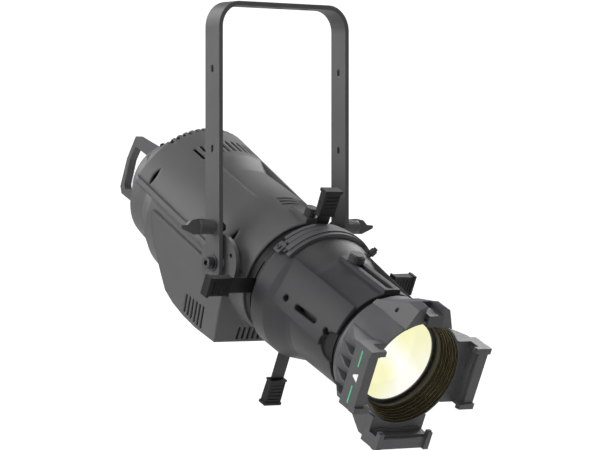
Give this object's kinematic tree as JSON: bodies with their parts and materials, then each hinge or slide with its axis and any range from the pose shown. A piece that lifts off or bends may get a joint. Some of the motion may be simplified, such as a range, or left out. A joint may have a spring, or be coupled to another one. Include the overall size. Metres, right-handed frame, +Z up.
{
  "type": "ellipsoidal spotlight",
  "caption": "Ellipsoidal profile spotlight with LED engine, tilting flat-bar yoke, four framing shutters, rotating barrel, sliding lens tube and square accessory holder.",
  "frame": {"origin": "centre of the middle hanging hole, on the top face of the yoke", "axes": "+Z up out of the yoke's top face along the hanging bolt, +X across from the left yoke arm to the right one as seen from behind the lamp, and the lens looks towards -Y, tilted down 25.5 degrees at rest"},
  "size_m": [0.346, 0.673, 0.5746],
  "materials": {
    "housing_grey": "satin powder coat",
    "yoke_grey": "satin powder coat",
    "barrel_grey": "satin powder coat",
    "black_plastic": "fine moulded texture",
    "black_steel": "black oxide",
    "steel": "brushed",
    "alloy": "machined",
    "glass": "polished",
    "green_board": "solder mask",
    "display": "polished",
    "socket_blue": "moulded",
    "socket_grey": "moulded",
    "mark_green": "printed"
  },
  "bodies": {
    "yoke": {"yoke_bar": "yoke_grey", "pivot_washers": "black_steel", "pivot_bushes": "alloy"},
    "tilt_lock_left": {"tilt_lever_left": "yoke_grey", "tilt_stud_left": "black_steel"},
    "tilt_lock_right": {"tilt_lever_right": "yoke_grey", "tilt_stud_right": "black_steel"},
    "head": {"top_cover": "housing_grey", "base_housing": "housing_grey", "cover_screws": "black_steel", "pivot_cheeks": "housing_grey", "pivot_screws": "black_steel", "chassis": "steel", "rear_handle": "housing_grey", "heat_sink": "alloy", "led_board": "alloy", "collimator": "black_plastic", "condenser_lens": "glass", "fan_frame": "black_plastic", "power_supply": "steel", "driver_board": "green_board", "connector_panel": "black_steel", "panel_screws": "steel", "control_board": "green_board", "display_window": "display", "power_inlet": "socket_blue", "power_outlet": "socket_grey", "data_sockets": "socket_grey", "front_plate": "housing_grey"},
    "fan": {"fan_rotor": "black_plastic"},
    "button_1": {"menu_button_1": "black_plastic"},
    "button_2": {"menu_button_2": "black_plastic"},
    "button_3": {"menu_button_3": "black_plastic"},
    "button_4": {"menu_button_4": "black_plastic"},
    "rotation_lock": {"rotation_knob": "black_plastic"},
    "front": {"gate_housing": "barrel_grey", "gate_retainer": "black_steel", "aperture_plate": "steel", "shutter_spacers": "steel", "barrel": "barrel_grey", "clamp_collar": "barrel_grey", "collar_screws": "black_steel"},
    "shutter_blade_left": {"shutter_left": "steel", "shutter_grips_left": "black_plastic"},
    "shutter_blade_right": {"shutter_right": "steel", "shutter_grips_right": "black_plastic"},
    "shutter_blade_top": {"shutter_top": "steel", "shutter_grips_top": "black_plastic"},
    "shutter_blade_bottom": {"shutter_bottom": "steel", "shutter_grips_bottom": "black_plastic"},
    "barrel_lock": {"barrel_lock_screw": "black_plastic"},
    "lens": {"lens_tube": "barrel_grey", "rear_lens": "glass", "front_lens": "glass", "lens_rings": "black_steel", "accessory_holder": "barrel_grey", "holder_marks": "mark_green", "latch_pin": "steel"},
    "focus_lock": {"focus_knob": "black_plastic"},
    "latch": {"frame_latch": "black_plastic"}
  },
  "joints": [
    {"name": "tilt", "type": "hinge", "parent": "yoke", "child": "head", "pos_m": [0, 0, -0.34], "axis": [1, 0, 0], "range_deg": [-45.5, 49.5]},
    {"name": "tilt_lock_left_turn", "type": "hinge", "parent": "yoke", "child": "tilt_lock_left", "pos_m": [0, 0, -0.2935], "axis": [1, 0, 0], "range_deg": [-90, 90]},
    {"name": "tilt_lock_right_turn", "type": "hinge", "parent": "yoke", "child": "tilt_lock_right", "pos_m": [0, 0, -0.2935], "axis": [1, 0, 0], "range_deg": [-90, 90]},
    {"name": "fan_spin", "type": "hinge", "parent": "head", "child": "fan", "pos_m": [0, 0.00215, -0.34451], "axis": [0, -0.9026, -0.4305], "continuous": true},
    {"name": "button_1_press", "type": "slide", "parent": "head", "child": "button_1", "axis": [0, -0.4305, 0.9026], "range_m": [0, 0.001]},
    {"name": "button_2_press", "type": "slide", "parent": "head", "child": "button_2", "axis": [0, -0.4305, 0.9026], "range_m": [0, 0.001]},
    {"name": "button_3_press", "type": "slide", "parent": "head", "child": "button_3", "axis": [0, -0.4305, 0.9026], "range_m": [0, 0.001]},
    {"name": "button_4_press", "type": "slide", "parent": "head", "child": "button_4", "axis": [0, -0.4305, 0.9026], "range_m": [0, 0.001]},
    {"name": "rotation_lock_turn", "type": "hinge", "parent": "head", "child": "rotation_lock", "pos_m": [0, -0.02854, -0.35915], "axis": [0, -0.4305, 0.9026], "continuous": true},
    {"name": "barrel_rotation", "type": "hinge", "parent": "head", "child": "front", "pos_m": [0, 0.00215, -0.34451], "axis": [0, -0.9026, -0.4305], "range_deg": [-25, 25]},
    {"name": "shutter_left_slide", "type": "slide", "parent": "front", "child": "shutter_blade_left", "axis": [-1, 0, 0], "range_m": [-0.018, 0.042]},
    {"name": "shutter_right_slide", "type": "slide", "parent": "front", "child": "shutter_blade_right", "axis": [1, 0, 0], "range_m": [-0.049, 0.011]},
    {"name": "shutter_top_slide", "type": "slide", "parent": "front", "child": "shutter_blade_top", "axis": [0, -0.4305, 0.9026], "range_m": [-0.002, 0.058]},
    {"name": "shutter_bottom_slide", "type": "slide", "parent": "front", "child": "shutter_blade_bottom", "axis": [0, 0.4305, -0.9026], "range_m": [-0.034, 0.026]},
    {"name": "barrel_lock_turn", "type": "hinge", "parent": "front", "child": "barrel_lock", "pos_m": [0, -0.09352, -0.39015], "axis": [0.6428, -0.3298, 0.6914], "continuous": true},
    {"name": "focus_slide", "type": "slide", "parent": "front", "child": "lens", "axis": [0, -0.9026, -0.4305], "range_m": [0, 0.072]},
    {"name": "focus_lock_turn", "type": "hinge", "parent": "lens", "child": "focus_lock", "pos_m": [0, -0.12917, -0.40715], "axis": [0, -0.4305, 0.9026], "continuous": true},
    {"name": "latch_flip", "type": "hinge", "parent": "lens", "child": "latch", "pos_m": [0, -0.29988, -0.39883], "axis": [1, 0, 0], "range_deg": [-100, 0]}
  ]
}
